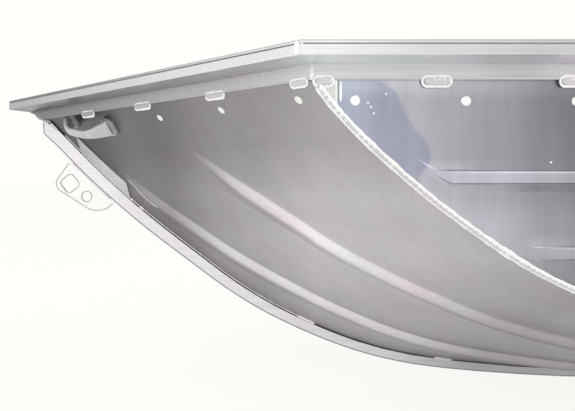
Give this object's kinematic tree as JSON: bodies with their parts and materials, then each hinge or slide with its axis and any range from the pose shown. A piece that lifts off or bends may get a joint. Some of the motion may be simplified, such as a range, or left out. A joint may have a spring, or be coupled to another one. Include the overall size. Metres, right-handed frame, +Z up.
{
  "type": "jon boat",
  "caption": "Open aluminium jon boat with a pointed bow, shallow V bottom, folded benches, pressed strakes, extruded gunwales and a raked transom",
  "frame": {"origin": "middle of the boat's length and beam, on the ground under the keel bar", "axes": "+X forward to the bow point, +Y to port, +Z up"},
  "size_m": [4.27, 1.4, 0.6],
  "materials": {
    "bottom_sheet": "bare rolled sheet, dull",
    "side_sheet": "bare rolled sheet, satin",
    "gunwale_extrusion": "bare extrusion, bright",
    "keel_bar": "bare bar, bright",
    "plate": "cut plate, satin",
    "cast_handle": "cast, tumbled",
    "bench_sheet": "folded sheet, satin",
    "frame": "folded channel, mill finish",
    "motor_board": "boxed extrusion, mill finish",
    "drain_socket": "turned, dull"
  },
  "bodies": {
    "root": {"bottom_port": "bottom_sheet", "bottom_starboard": "bottom_sheet", "side_port": "side_sheet", "side_starboard": "side_sheet", "transom": "side_sheet", "keel_bar": "keel_bar", "stem_doubler_port": "plate", "stem_doubler_starboard": "plate", "gunwale_port": "gunwale_extrusion", "gunwale_starboard": "gunwale_extrusion", "gunwale_bow_port": "gunwale_extrusion", "gunwale_bow_starboard": "gunwale_extrusion", "bow_plate": "plate", "eye_plate": "plate", "bow_handle_port": "cast_handle", "bow_handle_starboard": "cast_handle", "bow_deck": "bench_sheet", "bench_mid_box": "bench_sheet", "bench_stern_box": "bench_sheet", "frame_1": "frame", "frame_2": "frame", "frame_3": "frame", "frame_4": "frame", "transom_cap": "gunwale_extrusion", "motor_board": "motor_board", "clamp_plate": "plate", "knee_port": "frame", "knee_starboard": "frame", "corner_port": "plate", "corner_starboard": "plate", "stern_handle_port": "cast_handle", "stern_handle_starboard": "cast_handle", "drain_socket": "drain_socket", "oarlock_port": "plate", "oarlock_starboard": "plate"}
  },
  "joints": []
}
